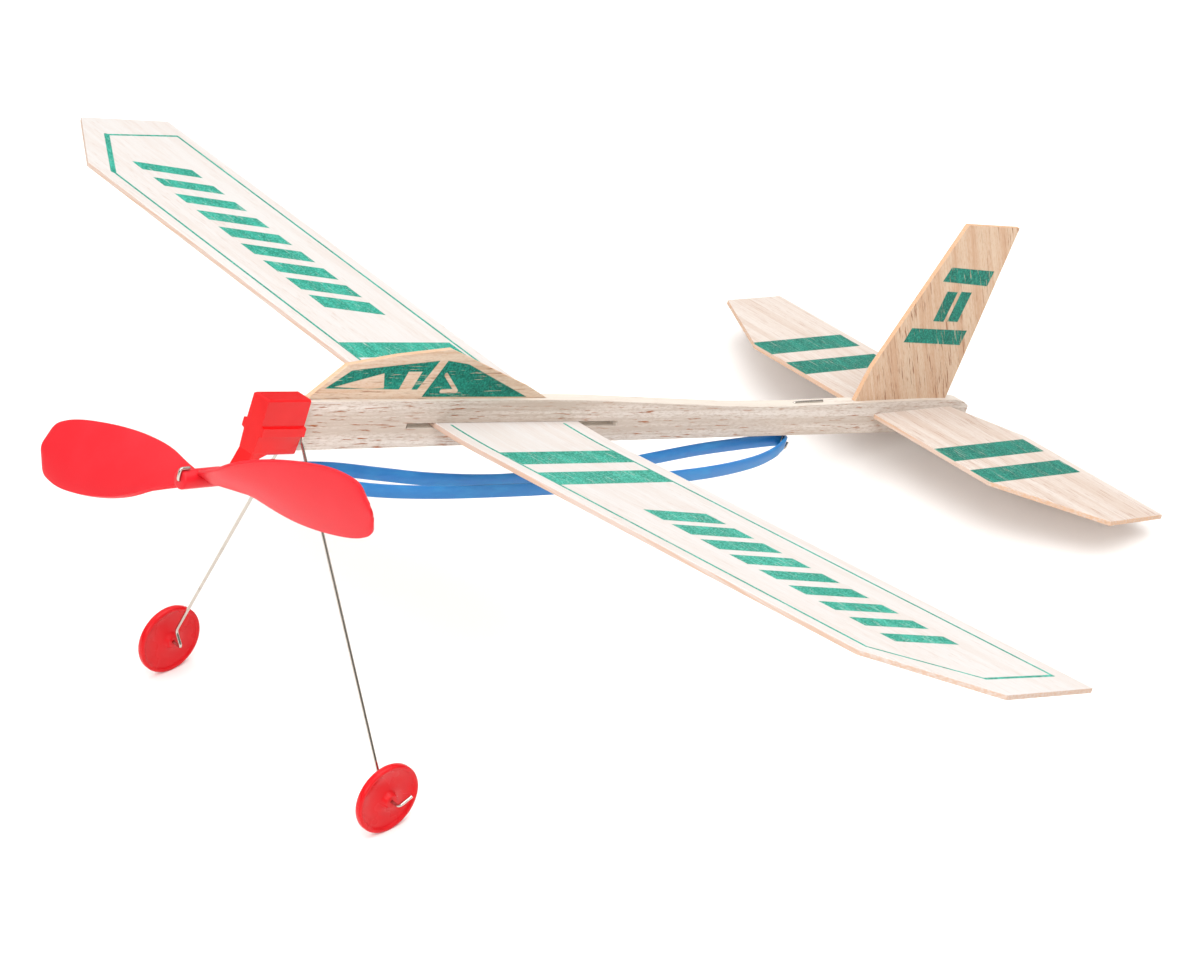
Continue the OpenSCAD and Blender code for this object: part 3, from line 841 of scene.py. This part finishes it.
# %% [markdown]
# ## Rubber band
# The motor is one flat loop. It passes round the ring behind the propeller and the hook under the
# tail, and with no turns wound on it hangs slack, bowing out to port. A closed smooth curve carries a
# rounded flat profile, stood on edge, as the real ribbon hangs.

# %% Rubber band
band_route = [
    (-14.25, 0, -22.5), (-15.7, 1.45, -22.5), (-21, 2.2, -22.9), (-32, 4.6, -24.6), (-46, 7.8, -25.6),
    (-66, 10.8, -25.4), (-90, 13.6, -24.2), (-120, 15.4, -22.8), (-155, 14.6, -21.4), (-186, 12.2, -20.4),
    (-208, 8.6, -19.2), (-221, 5, -17.8), (-227, 2.4, -16.6), (-229, 1.3, -16.2), (-230.3, 0, -16.2),
    (-229, -1.3, -16.2), (-224, -1.2, -16.3), (-210, -0.4, -16.9), (-190, 0.6, -18.2), (-170, 1.4, -20.4),
    (-148, 2.2, -23), (-124, 2.6, -25.2), (-100, 2.4, -26.2), (-76, 1.2, -25.8), (-56, -0.2, -24.4),
    (-38, -1.4, -23), (-24, -1.6, -22.6), (-15.7, -1.45, -22.5),
]


def smooth_loop(points, steps):
    """Points on a closed curve that passes through each given point."""
    points = [Vector(p) for p in points]
    n, loop = len(points), []
    for k in range(n):
        a, b, c, d = (points[(k + j) % n] for j in (-1, 0, 1, 2))
        for s in range(steps):
            t = s / steps
            rise, bend, turn = c - a, 2 * a - 5 * b + 4 * c - d, 3 * b - a - 3 * c + d
            loop.append(0.5 * (2 * b + rise * t + bend * t * t + turn * t ** 3))
    return loop


band_shape = [
    (0.5, -1.8), (0.5, 1.8), (0.3, 2.05), (-0.3, 2.05),
    (-0.5, 1.8), (-0.5, -1.8), (-0.3, -2.05), (0.3, -2.05),
]
outline = bpy.data.curves.new("band outline", "CURVE")
outline.dimensions = "2D"
spline = outline.splines.new("POLY")
spline.points.add(len(band_shape) - 1)
for point, (w, h) in zip(spline.points, band_shape):
    point.co = (w, h, 0, 1)
spline.use_cyclic_u = True
outline_holder = bpy.data.objects.new("band outline", outline)
bpy.context.scene.collection.objects.link(outline_holder)
band_line = smooth_loop(band_route, 6)
band = swept(band_line, closed=True, profile=outline_holder)
bpy.data.objects.remove(outline_holder)
bpy.data.curves.remove(outline)
loop_length = sum((a - b).length for a, b in zip(band_line, band_line[1:] + band_line[:1]))
new_piece("rubber_band_loop", band, rubber, "fuselage", ("rubber_band",), smooth=50)
print("band loop:", round(loop_length), "mm round")

# %% [markdown]
# ## Floor and light
# A pale seamless floor and a big soft light overhead give the faint warm shadows of a light tent. The
# sky is white above and dark at the horizon, so upright wire keeps a dark side. A lower light from
# the port bow puts the highlights on the red plastic and shows the grain on the stick's side.

# %% Floor
FLOOR_REACH = 6
floor_shape = bmesh.new()
bmesh.ops.create_grid(floor_shape, x_segments=1, y_segments=1, size=FLOOR_REACH)
floor_mesh = bpy.data.meshes.new("floor")
floor_shape.to_mesh(floor_mesh)
floor_shape.free()
floor_paint, tree, finish = new_material("floor paint")
finish["Base Color"].default_value = (0.95, 0.925, 0.905, 1)
finish["Roughness"].default_value = 0.9
finish["Specular IOR Level"].default_value = 0.1
floor_mesh.materials.append(floor_paint)
floor = bpy.data.objects.new("floor", floor_mesh)
bpy.context.scene.collection.objects.link(floor)
print("floor:", 2 * FLOOR_REACH, "m across")

# %% Light
HORIZON, SKY_STRENGTH = (0.1, 0.095, 0.09, 1), 1.08
world = bpy.data.worlds.new("studio")
world.use_nodes = True
sky = world.node_tree
look = add(sky, "ShaderNodeTexCoord").outputs["Generated"]
upward = add(sky, "ShaderNodeSeparateXYZ", Vector=look).outputs["Z"]
tent = mix(sky, ramp(sky, upward, 0.1, 0.6), HORIZON, WHITE)
backdrop = sky.nodes["Background"].inputs
sky.links.new(tent, backdrop["Color"])
backdrop["Strength"].default_value = SKY_STRENGTH
bpy.context.scene.world = world


def soft_light(name, place, aim, size, power):
    light = bpy.data.lights.new(name, "AREA")
    light.shape = "DISK"
    light.size = size
    light.energy = power
    holder = bpy.data.objects.new(name, light)
    holder.location = place
    holder.rotation_euler = (Vector(aim) - Vector(place)).to_track_quat("-Z", "Y").to_euler()
    bpy.context.scene.collection.objects.link(holder)


soft_light("overhead light", (-0.1, 0.25, 1.7), (0, 0, 0.05), 2.4, 27)
soft_light("bow light", (1.3, 0.5, 0.9), (0, 0, 0.05), 0.7, 9)
bpy.context.scene.view_settings.view_transform = "Standard"
